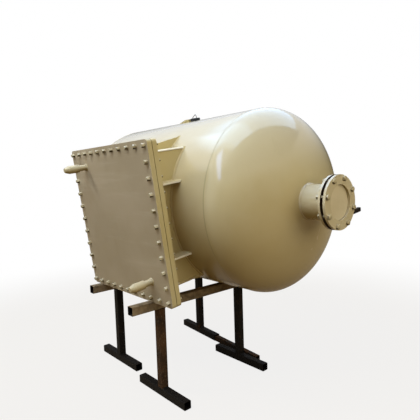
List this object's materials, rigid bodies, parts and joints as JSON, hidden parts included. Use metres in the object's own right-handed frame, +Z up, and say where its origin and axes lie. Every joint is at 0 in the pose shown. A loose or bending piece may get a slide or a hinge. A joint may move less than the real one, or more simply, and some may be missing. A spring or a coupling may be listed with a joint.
{
  "type": "shell and tube heat exchanger",
  "caption": "Horizontal cylindrical exchanger shell with dished ends, a square bolted cover on a side box and a blanked end nozzle, lying on a low stand of square tube.",
  "frame": {"origin": "on the ground, under the middle of the object's box", "axes": "+X along the shell towards the nozzle, +Y from the cover to the back, +Z up"},
  "size_m": [2.4166, 1.7116, 2.0172],
  "materials": {
    "cream_paint": "gloss",
    "stand_steel": "rusted",
    "rusty_steel": "rusted",
    "gasket_sheet": "matte",
    "blank_steel": "satin",
    "black_plug": "matte",
    "wire": "satin"
  },
  "bodies": {
    "root": {"bottom_gussets": "cream_paint", "box_bottom_wall": "cream_paint", "box_left_wall": "cream_paint", "box_right_wall": "cream_paint", "box_top_wall": "cream_paint", "cap_bail": "wire", "companion_flange": "cream_paint", "cover_gasket": "gasket_sheet", "cover_plate": "cream_paint", "far_head": "cream_paint", "far_seam_weld": "cream_paint", "flange_bottom_bar": "cream_paint", "flange_left_bar": "cream_paint", "flange_right_bar": "cream_paint", "flange_top_bar": "cream_paint", "front_left_foot": "stand_steel", "front_left_leg": "stand_steel", "front_right_foot": "stand_steel", "front_right_leg": "stand_steel", "left_lower_rib": "cream_paint", "left_rail": "stand_steel", "left_upper_rib": "cream_paint", "lower_stub_cap": "cream_paint", "lower_stub_pipe": "cream_paint", "nozzle_blank": "blank_steel", "nozzle_bolts": "cream_paint", "nozzle_flange": "cream_paint", "nozzle_head": "cream_paint", "nozzle_neck": "cream_paint", "nozzle_seam_weld": "cream_paint", "rear_ground_tube": "rusty_steel", "rear_left_foot": "stand_steel", "rear_left_leg": "stand_steel", "rear_right_foot": "stand_steel", "rear_right_leg": "stand_steel", "right_lower_rib": "cream_paint", "right_rail": "stand_steel", "right_upper_rib": "cream_paint", "shell": "cream_paint", "top_cap": "black_plug", "top_gussets": "cream_paint", "top_pad": "cream_paint", "upper_stub_cap": "cream_paint", "upper_stub_pipe": "cream_paint"}
  },
  "joints": []
}
